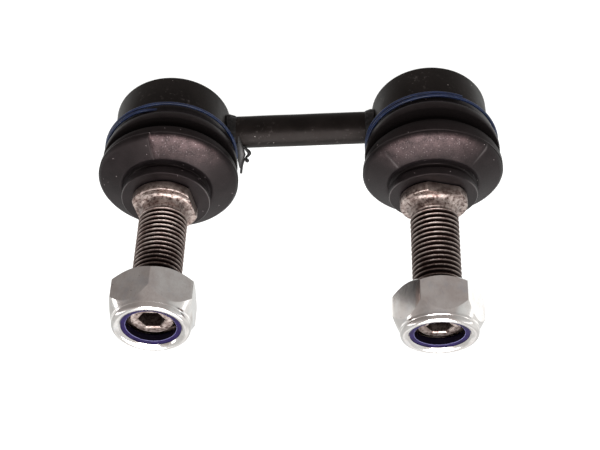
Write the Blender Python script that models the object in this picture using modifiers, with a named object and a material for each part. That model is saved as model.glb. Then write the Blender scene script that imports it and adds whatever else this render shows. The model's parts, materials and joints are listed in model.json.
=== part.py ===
# A short stabilizer link: two ball joints on a round bar, both studs on the same side, with lock nuts.
# It stands on the flat backs of its joints. The origin is the middle of the left joint's back, +X runs
# along the bar to the right joint, and +Z points out of the ball joints' mouths.
import math

import bmesh
import bpy
from mathutils import Matrix, Vector

mm = 0.001

# The link as a whole
joint_spacing = 64.4 * mm  # between the two ball centres
fit_gap = 0.3 * mm  # between pieces that touch on the real link
round_steps = 28  # facets round the pieces that show
inner_steps = 20  # facets round the pieces inside
stud_steps = 18  # facets round the threaded studs
small_edge = 0.3 * mm  # broken edges of the metal pieces
soft_edge = 0.4 * mm  # rounded edges of the rubber

# How each stud leans at rest, as photographed
lean_across = {"left": math.radians(15.7), "right": math.radians(7.6)}  # towards +Y
lean_along = {"left": math.radians(0.9), "right": math.radians(2.7)}  # towards +X

# Ball and its plastic seat
ball_radius = 8.0 * mm
ball_flat_depth = 1.1 * mm  # cut off the bottom of the ball
ball_flat = ball_radius - ball_flat_depth  # below the ball's centre
seat_wall = 2.2 * mm
grease_hole_radius = 3.5 * mm  # in the bottom of the seat

# Cover plate in the back
cover_thickness = 1.6 * mm
cover_clearance = 1.5 * mm  # from the cover to the ball's flat
cover_bevel = 0.8 * mm
cover_groove_width = 2.0 * mm  # groove pressed into its outside
cover_groove_depth = 0.4 * mm
ball_height = cover_thickness + cover_clearance + ball_flat  # above the back plane

# Housing, with its heights above the ball centre
housing_bore = ball_radius + fit_gap + seat_wall + fit_gap
housing_wall = 3.5 * mm
housing_radius = housing_bore + housing_wall
shoulder_height = 1.2 * mm  # top of the plain wall, where the boot seat begins
boot_seat_step = 1.1 * mm
boot_seat_radius = housing_radius - boot_seat_step
mouth_height = 5.8 * mm  # top of the housing
mouth_flange_reach = 0.5 * mm  # out from the boot seat
mouth_flange_radius = boot_seat_radius + mouth_flange_reach
mouth_flange_height = 1.0 * mm
mouth_radius = housing_bore + 0.1 * mm
mouth_lip_radius = ball_radius + 0.9 * mm  # smallest opening, which keeps the seat in
mouth_lip_height = 3.2 * mm
back_edge_round = 0.7 * mm
rolled_lip = 0.8 * mm  # how far the rolled rim reaches over the cover
cover_inset = 2.2 * mm
cover_radius = housing_radius - cover_inset
cover_rim = 4.1 * mm  # flat rim outside the cover's groove
cover_groove_radius = cover_radius - cover_rim

# Bar and welds
bar_radius = 4.0 * mm
bar_clearance = 1.6 * mm  # from the back plane up to the bar
bar_height = bar_clearance + bar_radius  # bar axis above the back plane
weld_throat = 0.5 * mm  # how far the weld stands off the bar
weld_reach = 1.6 * mm  # how far the weld runs along the bar from the housing

# Stud, measured along its axis from the ball centre
neck_radius = 4.9 * mm
neck_end = 9.6 * mm
neck_flare_radius = 5.4 * mm
neck_flare_end = 11.0 * mm
collar_seat_radius = 6.3 * mm
collar_seat_start = 12.8 * mm
flange_start = 17.8 * mm
flange_end = 20.3 * mm
flange_radius = 8.5 * mm
flange_fillet = 1.1 * mm
wrench_flats = 14.0 * mm  # across the two flats on the flange
flat_turn = {"left": math.radians(70.7), "right": math.radians(9.0)}  # flats' normal from +X
shank_radius = 5.85 * mm
thread_start = 23.0 * mm
thread_pitch = 1.25 * mm  # rings at this spacing stand in for the helix
thread_depth = 0.7 * mm
stud_end = 52.6 * mm
end_chamfer = 1.0 * mm
socket_flats = 5.0 * mm  # hexagon socket in the stud's end
socket_depth = 5.0 * mm

# Boot, with its heights above the ball centre, lip to collar
boot_wall = 1.5 * mm
lip_start = shoulder_height + 0.2 * mm
clip_groove_radius = boot_seat_radius + 2.15 * mm
clip_groove_end = lip_start + 3.8 * mm
lip_radius = clip_groove_radius + 1.25 * mm
lip_top = clip_groove_end + 2.7 * mm
waist_radius = boot_seat_radius + 1.4 * mm  # bottom of the deep groove under the bulge
waist_height = lip_top + 0.9 * mm
crest_radius = boot_seat_radius + 3.9 * mm  # the bulge's upright wall
crest_low_height = waist_height + 1.3 * mm
crest_height = crest_low_height + 1.25 * mm
shoulder_drop = 0.5 * mm  # the edge where the wall turns into the cone
shoulder_rise = 0.75 * mm
collar_wall = 4.4 * mm
collar_radius = collar_seat_radius + collar_wall
dome_end_radius = collar_radius + 0.7 * mm
dome_end_height = crest_height + 2.85 * mm  # the cone ends at the collar's foot
bend_start = clip_groove_end + 0.8 * mm  # the boot leans with the stud from here
bend_end = dome_end_height + 0.8 * mm  # and fully from here

# Ring moulded into the boot's collar
collar_ring_wall = 1.0 * mm
collar_ring_height = 2.4 * mm

# Wire clip round the boot's lip
clip_wire_radius = 0.4 * mm
clip_pitch = 1.25 * mm
clip_turns = {"left": 1.6, "right": 1.45}
clip_way = {"left": 1, "right": -1}  # the turning sense, as each one is photographed
clip_low = lip_start + 0.45 * mm
clip_high = clip_low + 0.45 * mm
clip_start_height = {"left": clip_high, "right": clip_low}
clip_start = {"left": math.radians(243.0), "right": math.radians(78.0)}  # angle from +X
clip_points = 20  # points in each turn

# Lock nut, measured from its seat face
nut_seat = 43.9 * mm  # along the stud from the ball centre
nut_flats = 19.0 * mm
nut_face_radius = 9.3 * mm
nut_height = 11.5 * mm
nut_corner_start = 1.7 * mm  # the corners' chamfer ends here
nut_corner_end = 6.4 * mm  # and the crown side's begins here
nut_hexagon_end = 8.4 * mm
crown_radius = 9.3 * mm
crown_mouth = 6.9 * mm
crown_round = 1.3 * mm
crown_lip = 0.6 * mm  # how far the crown reaches over the insert
thread_lead = 0.6 * mm  # chamfer where the thread begins
nut_turn = {"left": math.radians(-6.3), "right": math.radians(28.0)}  # a corner's angle from +X
insert_thickness = 1.9 * mm
insert_recess = 0.9 * mm  # from the crown's top down to the insert


def clear_scene():
    for thing in list(bpy.data.objects):
        bpy.data.objects.remove(thing, do_unlink=True)


def new_collection(name):
    made = bpy.data.collections.new(name)
    bpy.context.scene.collection.children.link(made)
    return made


def new_material(name, colour, metallic, roughness):
    made = bpy.data.materials.new(name)
    made.use_nodes = True
    shader = made.node_tree.nodes["Principled BSDF"]
    shader.inputs["Base Color"].default_value = (*colour, 1.0)
    shader.inputs["Metallic"].default_value = metallic
    shader.inputs["Roughness"].default_value = roughness
    return made


def new_object(name, mesh, collection, parent=None):
    made = bpy.data.objects.new(name, mesh)
    collection.objects.link(made)
    made.parent = parent
    return made


def new_empty(name, collection, parent=None, location=(0, 0, 0), rotation=(0, 0, 0)):
    made = bpy.data.objects.new(name, None)
    made.empty_display_size = 5 * mm
    made.location = location
    made.rotation_euler = rotation
    made.parent = parent
    collection.objects.link(made)
    return made


def arc(centre, radius, start, end, steps):
    # Points (radius, height) on an arc, from one angle to another in degrees
    for i in range(steps + 1):
        angle = math.radians(start + (end - start) * i / steps)
        yield (centre[0] + radius * math.cos(angle), centre[1] + radius * math.sin(angle))


def turned(name, outline, collection, parent=None, steps=round_steps, closed=True):
    # A turned piece: its outline runs down the outer side, then back up the bore or the axis
    mesh = bpy.data.meshes.new(name)
    drawn = bmesh.new()
    points = [drawn.verts.new((r, 0.0, z)) for r, z in outline]
    for first, second in zip(points, points[1:]):
        drawn.edges.new((first, second))
    if closed:
        drawn.edges.new((points[-1], points[0]))
    drawn.to_mesh(mesh)
    drawn.free()
    made = new_object(name, mesh, collection, parent)
    screw = made.modifiers.new("turn", "SCREW")
    screw.steps = steps
    screw.render_steps = steps
    screw.use_merge_vertices = True
    screw.merge_threshold = 0.00001
    screw.use_smooth_shade = True
    return made


def cutter(name, collection, parent, shape, matrix):
    mesh = bpy.data.meshes.new(name)
    shape.transform(matrix)
    shape.to_mesh(mesh)
    shape.free()
    made = new_object(name, mesh, collection, parent)
    made.hide_render = True
    made.display_type = "WIRE"
    return made


def cylinder(radius, length, steps):
    shape = bmesh.new()
    bmesh.ops.create_cone(
        shape, cap_ends=True, segments=steps, radius1=radius, radius2=radius, depth=length
    )
    return shape


def block(size_x, size_y, size_z):
    shape = bmesh.new()
    bmesh.ops.create_cube(shape, size=1.0)
    shape.transform(Matrix.Diagonal((size_x, size_y, size_z, 1.0)))
    return shape


def boolean(made, tool, operation):
    change = made.modifiers.new(tool.name, "BOOLEAN")
    change.operation = operation
    change.solver = "EXACT"
    change.object = tool


def finish(made, material, sharp=30.0):
    made.data.materials.append(material)
    if made.type == "MESH":
        made.data.shade_smooth()
        made.data.set_sharp_from_angle(angle=math.radians(sharp))


def housing_outline():
    # Heights here are above the ball centre, as in every outline below
    back = -ball_height
    flange_low = mouth_height - mouth_flange_height
    cover_top = back + cover_thickness + fit_gap
    pocket = cover_radius + fit_gap
    bevel_rise = cover_bevel + fit_gap / 2
    rounded = (housing_radius - back_edge_round, back + back_edge_round)
    return [
        (mouth_radius, mouth_height),
        (mouth_flange_radius, mouth_height),
        (mouth_flange_radius, flange_low),
        (boot_seat_radius, flange_low - small_edge),
        (boot_seat_radius, shoulder_height),
        (housing_radius - small_edge, shoulder_height),
        (housing_radius, shoulder_height - small_edge),
        *arc(rounded, back_edge_round, 0, -90, 2),
        (pocket - rolled_lip, back),
        (pocket, back + bevel_rise),
        (pocket, cover_top),
        (housing_bore, cover_top),
        (housing_bore, mouth_lip_height),
        (mouth_lip_radius, mouth_lip_height),
    ]


def cover_outline():
    back = -ball_height
    top = back + cover_thickness
    groove_inner = cover_groove_radius - cover_groove_width
    return [
        (0.0, top),
        (cover_radius, top),
        (cover_radius, back + cover_bevel),
        (cover_radius - rolled_lip, back),
        (cover_groove_radius, back),
        (cover_groove_radius - cover_groove_depth, back + cover_groove_depth),
        (groove_inner + cover_groove_depth, back + cover_groove_depth),
        (groove_inner, back),
        (0.0, back),
    ]


def seat_outline():
    inner = ball_radius + fit_gap
    outer = inner + seat_wall
    low = -ball_height + cover_thickness + fit_gap
    high = mouth_lip_height - fit_gap
    start = -math.degrees(math.acos(grease_hole_radius / inner))
    end = math.degrees(math.asin(high / inner))
    hole = (grease_hole_radius, low)
    return [(outer, high), (outer, low), hole, *arc((0.0, 0.0), inner, start, end, 5)]


def stud_outline():
    fillet_centre = (shank_radius + flange_fillet, flange_end + flange_fillet)
    ball_top = math.degrees(math.acos(neck_radius / ball_radius))
    ball_low = -math.degrees(math.asin(ball_flat / ball_radius))
    return [
        (0.0, stud_end),
        (shank_radius - end_chamfer, stud_end),
        (shank_radius, stud_end - end_chamfer),
        *thread_points(),
        *arc(fillet_centre, flange_fillet, 180, 270, 3),
        (flange_radius - small_edge, flange_end),
        (flange_radius, flange_end - small_edge),
        (flange_radius, flange_start + small_edge),
        (flange_radius - small_edge, flange_start),
        (collar_seat_radius, flange_start),
        (collar_seat_radius, collar_seat_start),
        (neck_flare_radius, neck_flare_end),
        (neck_radius, neck_end),
        *arc((0.0, 0.0), ball_radius, ball_top, ball_low, 6),
        (0.0, -ball_flat),
    ]


def thread_points():
    # Root and crest of each turn, from the stud's end down to the plain shank
    height = stud_end - end_chamfer
    while height - thread_pitch > thread_start:
        yield (shank_radius - thread_depth, height - thread_pitch / 2)
        yield (shank_radius, height - thread_pitch)
        height -= thread_pitch


def boot_outline():
    lip_bore = boot_seat_radius + fit_gap
    flange_low = mouth_height - mouth_flange_height
    flange_bore = mouth_flange_radius + fit_gap
    ring_bore = collar_seat_radius + 2 * fit_gap + collar_ring_wall
    ring_high = flange_start - 2 * fit_gap
    ring_low = ring_high - collar_ring_height - fit_gap
    rim_bore = collar_seat_radius + fit_gap
    collar_top = flange_start - fit_gap
    outer = [
        (rim_bore, collar_top),
        (collar_radius - soft_edge, collar_top),
        (collar_radius, collar_top - soft_edge),
        (collar_radius - soft_edge, dome_end_height + soft_edge / 2),
        (dome_end_radius, dome_end_height),
        (crest_radius - shoulder_drop - soft_edge / 2, crest_height + shoulder_rise + soft_edge / 2),
        (crest_radius - soft_edge / 2, crest_height + shoulder_rise - soft_edge),
        (crest_radius, crest_height),
        (crest_radius, crest_low_height),
        (waist_radius, waist_height),
        (lip_radius - soft_edge, lip_top),
        (lip_radius, lip_top - 2 * soft_edge),
        (lip_radius - soft_edge, clip_groove_end + fit_gap),
        (clip_groove_radius, clip_groove_end),
        (clip_groove_radius, lip_start + soft_edge),
        (clip_groove_radius - soft_edge, lip_start),
    ]
    inner = [
        (lip_bore, lip_start),
        (lip_bore, flange_low - 2 * fit_gap),
        (flange_bore, flange_low - fit_gap),
        (flange_bore, mouth_height + fit_gap),
        (waist_radius - boot_wall, waist_height),
        (crest_radius - boot_wall, crest_low_height + soft_edge),
        (crest_radius - boot_wall, crest_height + shoulder_rise - boot_wall),
        (ring_bore + boot_wall / 2, ring_low - boot_wall / 2),
        (ring_bore, ring_low),
        (ring_bore, ring_high),
        (rim_bore, ring_high),
    ]
    return outer + inner


def collar_ring_outline():
    inner = collar_seat_radius + fit_gap
    outer = inner + collar_ring_wall
    high = flange_start - 2 * fit_gap
    low = high - collar_ring_height
    return [(inner, high), (outer, high), (outer, low), (inner, low)]


def nut_outline():
    bore = shank_radius + fit_gap
    pocket = crown_mouth + crown_lip
    corner = nut_flats / math.sqrt(3)
    beyond = corner + fit_gap  # the hexagon is cut out of this blank
    slope = (nut_hexagon_end - nut_corner_end) / (corner - nut_flats / 2)
    insert_high = nut_height - insert_recess
    insert_low = insert_high - insert_thickness
    crown = arc((crown_radius - crown_round, nut_height - crown_round), crown_round, 90, 0, 2)
    return [
        (crown_mouth, nut_height),
        *crown,
        (crown_radius, nut_hexagon_end + small_edge),
        (nut_flats / 2, nut_hexagon_end),
        (beyond, nut_hexagon_end - slope * (beyond - nut_flats / 2)),
        (beyond, nut_corner_start),
        (nut_face_radius, 0.0),
        (bore + thread_lead, 0.0),
        (bore, thread_lead),
        (bore, insert_low - fit_gap),
        (pocket, insert_low - fit_gap),
        (pocket, insert_high + fit_gap),
        (crown_mouth, insert_high + fit_gap),
    ]


def insert_outline():
    inner = shank_radius + fit_gap
    outer = crown_mouth + crown_lip - fit_gap
    high = nut_height - insert_recess
    low = high - insert_thickness
    return [
        (inner + small_edge, high),
        (outer, high),
        (outer, low),
        (inner, low),
        (inner, high - small_edge),
    ]


def weld_outline():
    # Along the bar from the ball centre outwards, as (radius round the bar, distance)
    inner = bar_radius + fit_gap
    root = housing_radius + fit_gap
    bead = [
        (inner + weld_throat * across, root + weld_reach * out)
        for across, out in arc((0.0, 0.0), 1.0, 90, 0, 3)
    ]
    return [*bead, (inner + weld_throat, root / 2), (inner, root / 2)]


def bend_with_stud(made, turn):
    # Turns each ring of the boot about the ball centre by its share of the stud's lean
    evaluated = made.evaluated_get(bpy.context.evaluated_depsgraph_get())
    mesh = bpy.data.meshes.new_from_object(evaluated)
    made.modifiers.clear()
    made.data = mesh
    axis, angle = turn.to_quaternion().to_axis_angle()
    for vertex in mesh.vertices:
        share = (vertex.co.z - bend_start) / (bend_end - bend_start)
        share = min(max(share, 0.0), 1.0)
        share = share * share * (3.0 - 2.0 * share)
        vertex.co = Matrix.Rotation(angle * share, 3, axis) @ vertex.co


def add_clip(name, side, collection, parent):
    # A wire ring of nearly two turns
    curve = bpy.data.curves.new(name, "CURVE")
    curve.dimensions = "3D"
    curve.bevel_depth = clip_wire_radius
    curve.bevel_resolution = 1
    curve.use_fill_caps = True
    count = round(clip_turns[side] * clip_points) + 1
    line = curve.splines.new("POLY")
    line.points.add(count - 1)
    centre = clip_groove_radius + fit_gap + clip_wire_radius
    for i, point in enumerate(line.points):
        angle = clip_start[side] + clip_way[side] * math.tau * i / clip_points
        height = clip_start_height[side] + clip_pitch * i / clip_points
        point.co = (centre * math.cos(angle), centre * math.sin(angle), height, 1.0)
    return new_object(name, curve, collection, parent)


def add_bar(parts, tools, steel):
    shape = cylinder(bar_radius, joint_spacing, inner_steps)
    shape.transform(Matrix.Rotation(math.pi / 2, 4, "Y"))
    mesh = bpy.data.meshes.new("link_bar")
    shape.to_mesh(mesh)
    shape.free()
    bar = new_object("link_bar", mesh, parts)
    bar.location = (joint_spacing / 2, 0.0, bar_height)
    for side, place in (("left", 0.0), ("right", joint_spacing)):
        tool = cutter(
            f"{side}_bar_end", tools, None,
            cylinder(housing_radius + fit_gap, 3 * housing_radius, 2 * round_steps),
            Matrix.Translation((place, 0.0, ball_height)),
        )
        boolean(bar, tool, "DIFFERENCE")
    finish(bar, steel)


def add_weld(side, towards, parts, tools, centre, steel):
    weld = turned(f"{side}_weld_bead", weld_outline(), parts, centre, inner_steps)
    weld.location = (0.0, 0.0, bar_height - ball_height)
    weld.rotation_euler = (0.0, towards * math.pi / 2, 0.0)
    tool = cutter(
        f"{side}_weld_end", tools, centre,
        cylinder(housing_radius + fit_gap, 3 * housing_radius, 2 * round_steps),
        Matrix.Identity(4),
    )
    boolean(weld, tool, "DIFFERENCE")
    finish(weld, steel)


def add_stud(side, parts, tools, parent, steel):
    stud = turned(f"{side}_ball_stud", stud_outline(), parts, parent, stud_steps, closed=False)
    reach = flange_radius
    middle = (flange_start + flange_end) / 2
    for name, sign in (("near", 1), ("far", -1)):
        place = Matrix.Rotation(flat_turn[side], 4, "Z") @ Matrix.Translation(
            (sign * (wrench_flats / 2 + reach / 2), 0.0, middle)
        )
        shape = block(reach, 3 * reach, flange_end - flange_start + 2 * fit_gap)
        boolean(stud, cutter(f"{side}_{name}_flat", tools, parent, shape, place), "DIFFERENCE")
    socket = cylinder(socket_flats / math.sqrt(3), 2 * socket_depth, 6)
    place = Matrix.Translation((0.0, 0.0, stud_end)) @ Matrix.Rotation(math.pi / 6, 4, "Z")
    boolean(stud, cutter(f"{side}_socket", tools, parent, socket, place), "DIFFERENCE")
    finish(stud, steel)


def add_nut(side, parts, tools, parent, zinc):
    nut = turned(f"{side}_lock_nut", nut_outline(), parts, parent)
    hexagon = cylinder(nut_flats / math.sqrt(3), 3 * nut_height, 6)
    place = Matrix.Rotation(nut_turn[side] - math.pi / 2, 4, "Z")
    boolean(nut, cutter(f"{side}_hexagon", tools, parent, hexagon, place), "INTERSECT")
    finish(nut, zinc)


def add_joint(side, place, towards, parts, tools, paint):
    # towards is +1 where the bar leaves along +X and -1 where it leaves along -X
    centre = new_empty(f"{side}_ball_centre", parts, location=(place, 0.0, ball_height))
    across = new_empty(
        f"{side}_swing_across_axis", parts, centre, rotation=(-lean_across[side], 0.0, 0.0)
    )
    along = new_empty(
        f"{side}_swing_along_axis", parts, across, rotation=(0.0, lean_along[side], 0.0)
    )
    thread = new_empty(f"{side}_nut_axis", parts, along, location=(0.0, 0.0, nut_seat))
    bpy.context.view_layer.update()
    finish(turned(f"{side}_housing", housing_outline(), parts, centre), paint["black"])
    cover = turned(f"{side}_housing_cover", cover_outline(), parts, centre, closed=False)
    finish(cover, paint["black"])
    seat = turned(f"{side}_ball_seat", seat_outline(), parts, centre, inner_steps)
    finish(seat, paint["plastic"])
    add_weld(side, towards, parts, tools, centre, paint["black"])
    boot = turned(f"{side}_boot", boot_outline(), parts, centre)
    bend_with_stud(boot, (centre.matrix_world.inverted() @ along.matrix_world).to_3x3())
    finish(boot, paint["rubber"], sharp=50.0)
    finish(add_clip(f"{side}_boot_clip", side, parts, centre), paint["blue"])
    ring = turned(f"{side}_collar_ring", collar_ring_outline(), parts, along, inner_steps)
    finish(ring, paint["steel"])
    add_stud(side, parts, tools, along, paint["steel"])
    add_nut(side, parts, tools, thread, paint["zinc"])
    insert = turned(f"{side}_nut_insert", insert_outline(), parts, thread)
    finish(insert, paint["nylon"])


clear_scene()
link_parts = new_collection("stabilizer_link")
cutting_tools = new_collection("cutters")
finishes = {
    "black": new_material("satin_black_paint", (0.02, 0.019, 0.02), 0.0, 0.45),
    "rubber": new_material("black_rubber", (0.035, 0.03, 0.032), 0.0, 0.6),
    "blue": new_material("blue_wire", (0.02, 0.05, 0.16), 0.2, 0.4),
    "steel": new_material("phosphated_steel", (0.36, 0.32, 0.3), 1.0, 0.35),
    "zinc": new_material("bright_zinc", (0.72, 0.72, 0.7), 1.0, 0.3),
    "nylon": new_material("blue_nylon", (0.05, 0.03, 0.25), 0.0, 0.4),
    "plastic": new_material("white_plastic", (0.75, 0.75, 0.72), 0.0, 0.4),
}
add_bar(link_parts, cutting_tools, finishes["black"])
add_joint("left", 0.0, 1, link_parts, cutting_tools, finishes)
add_joint("right", joint_spacing, -1, link_parts, cutting_tools, finishes)
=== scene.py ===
# The looks of the stabilizer link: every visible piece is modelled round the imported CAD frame.
import json
import math

import bmesh
import bpy
from mathutils import Matrix, Vector, noise


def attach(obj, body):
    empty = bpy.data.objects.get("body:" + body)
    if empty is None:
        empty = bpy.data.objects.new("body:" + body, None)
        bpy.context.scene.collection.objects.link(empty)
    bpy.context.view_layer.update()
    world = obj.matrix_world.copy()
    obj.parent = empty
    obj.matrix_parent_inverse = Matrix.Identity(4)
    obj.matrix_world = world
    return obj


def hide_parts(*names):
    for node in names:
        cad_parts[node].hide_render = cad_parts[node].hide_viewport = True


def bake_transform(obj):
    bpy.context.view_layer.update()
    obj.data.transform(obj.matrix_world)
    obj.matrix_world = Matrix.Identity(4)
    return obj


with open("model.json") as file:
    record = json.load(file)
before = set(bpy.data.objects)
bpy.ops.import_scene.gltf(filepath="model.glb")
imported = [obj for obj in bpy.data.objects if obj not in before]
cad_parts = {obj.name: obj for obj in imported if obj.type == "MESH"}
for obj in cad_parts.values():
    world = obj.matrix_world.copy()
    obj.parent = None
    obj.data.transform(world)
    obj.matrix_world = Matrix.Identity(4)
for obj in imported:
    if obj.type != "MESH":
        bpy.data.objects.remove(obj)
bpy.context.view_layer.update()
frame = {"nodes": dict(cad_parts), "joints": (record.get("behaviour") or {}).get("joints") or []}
print("frame loaded")

mm = 0.001
sides = ("left", "right")
jointNamed = {joint["name"]: joint for joint in frame["joints"]}


def uprightPlace(side):
    # From the ball centre's own axes, upright, to the row frame
    return Matrix.Translation(Vector(jointNamed[side + "_stud_spin"]["pos_m"]))


def studPlace(side):
    # The same for what leans with the stud, whose axis is Z there
    spin = jointNamed[side + "_stud_spin"]
    alongStud = Vector(spin["axis"]).normalized()
    across = Vector(jointNamed[side + "_swing_along"]["axis"]).normalized()
    turn = Matrix((across.cross(alongStud), across, alongStud)).transposed()
    return Matrix.Translation(Vector(spin["pos_m"])) @ turn.to_4x4()


# Materials

def startFinish(name):
    material = bpy.data.materials.new(name)
    material.use_nodes = True
    tree = material.node_tree
    where = tree.nodes.new("ShaderNodeTexCoord").outputs["Object"]
    return material, tree, tree.nodes["Principled BSDF"], where


def noiseOf(tree, where, size, detail=3.0, roughness=0.55):
    # Cloudy pattern from 0 to 1, with patches of about that size in millimetres
    node = tree.nodes.new("ShaderNodeTexNoise")
    node.inputs["Scale"].default_value = 1 / (size * mm)
    node.inputs["Detail"].default_value = detail
    node.inputs["Roughness"].default_value = roughness
    tree.links.new(where, node.inputs["Vector"])
    return node.outputs["Fac"]


def feed(tree, socket, value):
    # A number or colour is set on the socket, and a pattern is linked to it
    if isinstance(value, bpy.types.NodeSocket):
        tree.links.new(value, socket)
    elif value is not None:
        socket.default_value = (*value, 1) if isinstance(value, tuple) else value


def mathOf(tree, operation, first, second=0.5, third=None):
    node = tree.nodes.new("ShaderNodeMath")
    node.operation = operation
    for socket, value in zip(node.inputs, (first, second, third)):
        feed(tree, socket, value)
    return node.outputs[0]


def rampOf(tree, source, *stops):
    # stops are (position, colour or grey)
    node = tree.nodes.new("ShaderNodeValToRGB")
    elements = node.color_ramp.elements
    while len(elements) < len(stops):
        elements.new(0.5)
    for element, (position, colour) in zip(elements, stops):
        grey = isinstance(colour, (int, float))
        element.position = position
        element.color = (colour, colour, colour, 1) if grey else (*colour, 1)
    tree.links.new(source, node.inputs["Fac"])
    return node.outputs["Color"]


def rangeOf(tree, source, low, high, first, second):
    # Smooth change from first to second between low and high
    node = tree.nodes.new("ShaderNodeMapRange")
    node.interpolation_type = "SMOOTHSTEP"
    for socket, value in zip(node.inputs[1:5], (low, high, first, second)):
        socket.default_value = value
    tree.links.new(source, node.inputs["Value"])
    return node.outputs["Result"]


def blendOf(tree, amount, low, high):
    node = tree.nodes.new("ShaderNodeMix")
    node.data_type = "RGBA"
    for socket, value in ((0, amount), (6, low), (7, high)):
        feed(tree, node.inputs[socket], value)
    return node.outputs[2]


def specksOf(tree, where, spacing, radius, share):
    # Small dots, 1 inside and 0 outside; share is how many of the cells hold one
    node = tree.nodes.new("ShaderNodeTexVoronoi")
    node.inputs["Scale"].default_value = 1 / (spacing * mm)
    tree.links.new(where, node.inputs["Vector"])
    red = tree.nodes.new("ShaderNodeSeparateColor")
    tree.links.new(node.outputs["Color"], red.inputs[0])
    near = mathOf(tree, "LESS_THAN", node.outputs["Distance"], radius / spacing)
    kept = mathOf(tree, "LESS_THAN", red.outputs[0], share)
    return mathOf(tree, "MULTIPLY", near, kept)


def bumpOf(tree, shader, height, depth):
    node = tree.nodes.new("ShaderNodeBump")
    node.inputs["Strength"].default_value = 1.0
    node.inputs["Distance"].default_value = depth * mm
    tree.links.new(height, node.inputs["Height"])
    tree.links.new(node.outputs["Normal"], shader.inputs["Normal"])


def attributeOf(tree, name):
    node = tree.nodes.new("ShaderNodeAttribute")
    node.attribute_name = name
    return node.outputs["Fac"]


def roughnessOf(tree, pattern, look):
    # From the first value to the second as the pattern goes
    low, high = look["roughness"]
    return rampOf(tree, pattern, (0.3, low), (0.7, high))


def finishShader(tree, shader, look, colour, roughness):
    # Links what changes over the surface and sets what is the same all over
    tree.links.new(colour, shader.inputs["Base Color"])
    tree.links.new(roughness, shader.inputs["Roughness"])
    sockets = {"metallic": "Metallic", "specular": "Specular IOR Level", "specularTint": "Specular Tint"}
    for name, socket in sockets.items():
        if name in look:
            feed(tree, shader.inputs[socket], look[name])


blackPaint = {
    "dark": (0.0032, 0.0025, 0.0022),
    "light": (0.0078, 0.0060, 0.0054),
    "dust": (0.26, 0.235, 0.225),
    "scuff": (0.060, 0.052, 0.049),
    "cloudSize": 6.0,
    "scuffSize": 0.9,
    "scuffPatch": 5.0,
    "orangePeelSize": 0.5,
    "orangePeelDepth": 0.010,
    "dustSpecks": (1.5, 0.13, 0.13),  # spacing, radius and share of the places
    "roughness": (0.36, 0.52),
    "specular": 0.12,
    "specularTint": (1.0, 0.86, 0.83),
}


def makeBlackPaint():
    look = blackPaint
    material, tree, shader, where = startFinish("satinBlackPaint")
    cloud = noiseOf(tree, where, look["cloudSize"])
    peel = noiseOf(tree, where, look["orangePeelSize"], 2.0)
    dust = specksOf(tree, where, *look["dustSpecks"])
    scuff = rampOf(tree, noiseOf(tree, where, look["scuffSize"], 6.0, 0.7), (0.56, 0.0), (0.70, 1.0))
    patch = rampOf(tree, noiseOf(tree, where, look["scuffPatch"]), (0.45, 0.0), (0.65, 1.0))
    paint = rampOf(tree, cloud, (0.35, look["dark"]), (0.65, look["light"]))
    colour = blendOf(tree, mathOf(tree, "MULTIPLY", scuff, patch), paint, look["scuff"])
    colour = blendOf(tree, dust, colour, look["dust"])
    finishShader(tree, shader, look, colour, roughnessOf(tree, cloud, look))
    bumpOf(tree, shader, mathOf(tree, "ADD", peel, dust), look["orangePeelDepth"])
    return material


bootRubber = {
    "dark": (0.0045, 0.0036, 0.0038),
    "light": (0.0105, 0.0082, 0.0086),
    "dustAndSheen": (0.140, 0.094, 0.096),
    "deep": (0.0012, 0.0010, 0.0010),
    "scratchAndHighlight": (0.30, 0.27, 0.27),
    "dust": (0.32, 0.27, 0.275),
    "cloudSize": 3.2,
    "grainSize": 0.35,
    "grainDepth": 0.03,
    "dustSpecks": (1.2, 0.10, 0.2),
    "bloomSpecks": (0.6, 0.14, 0.5),
    "roughness": (0.30, 0.44),
    "specular": 0.16,
    "specularTint": (1.0, 0.80, 0.80),
}


def makeBootRubber():
    look = bootRubber
    material, tree, shader, where = startFinish("bootRubber")
    cloud = noiseOf(tree, where, look["cloudSize"], 4.0)
    grain = noiseOf(tree, where, look["grainSize"], 4.0, 0.7)
    dust = specksOf(tree, where, *look["dustSpecks"])
    mottled = mathOf(tree, "MULTIPLY", mathOf(tree, "ADD", cloud, grain), 0.5)
    rubber = rampOf(tree, mottled, (0.35, look["dark"]), (0.65, look["light"]))
    # Dust with a painted sheen: a pale pinkish patch on the cone, mottled
    dustAndSheen = rampOf(tree, mottled, (0.38, 0.1), (0.62, 1.0))
    dustAndSheen = mathOf(tree, "MULTIPLY", dustAndSheen, attributeOf(tree, "dustAndSheen"))
    colour = blendOf(tree, dustAndSheen, rubber, look["dustAndSheen"])
    grains = specksOf(tree, where, *look["bloomSpecks"])
    grains = mathOf(tree, "MULTIPLY", grains, dustAndSheen)
    colour = blendOf(tree, mathOf(tree, "MAXIMUM", dust, grains), colour, look["dust"])
    # Pale scratches along the creases, and a painted highlight along the collar's edge
    colour = blendOf(tree, attributeOf(tree, "scratchAndHighlight"), colour, look["scratchAndHighlight"])
    # Painted shade: black in the groove under the crest and on the upright wall
    deep = attributeOf(tree, "deep")
    colour = blendOf(tree, deep, colour, look["deep"])
    roughness = mathOf(tree, "MAXIMUM", roughnessOf(tree, mottled, look), deep)
    finishShader(tree, shader, look, colour, roughness)
    bumpOf(tree, shader, mathOf(tree, "ADD", grain, dust), look["grainDepth"])
    return material


clipWire = {
    "dark": (0.002, 0.008, 0.034),
    "light": (0.003, 0.013, 0.056),
    "worn": (0.13, 0.14, 0.17),
    "patchSize": 2.5,
    "wearSize": 0.5,
    "wearDepth": 0.01,
    "roughness": (0.30, 0.45),
    "specular": 0.4,
}


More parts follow.
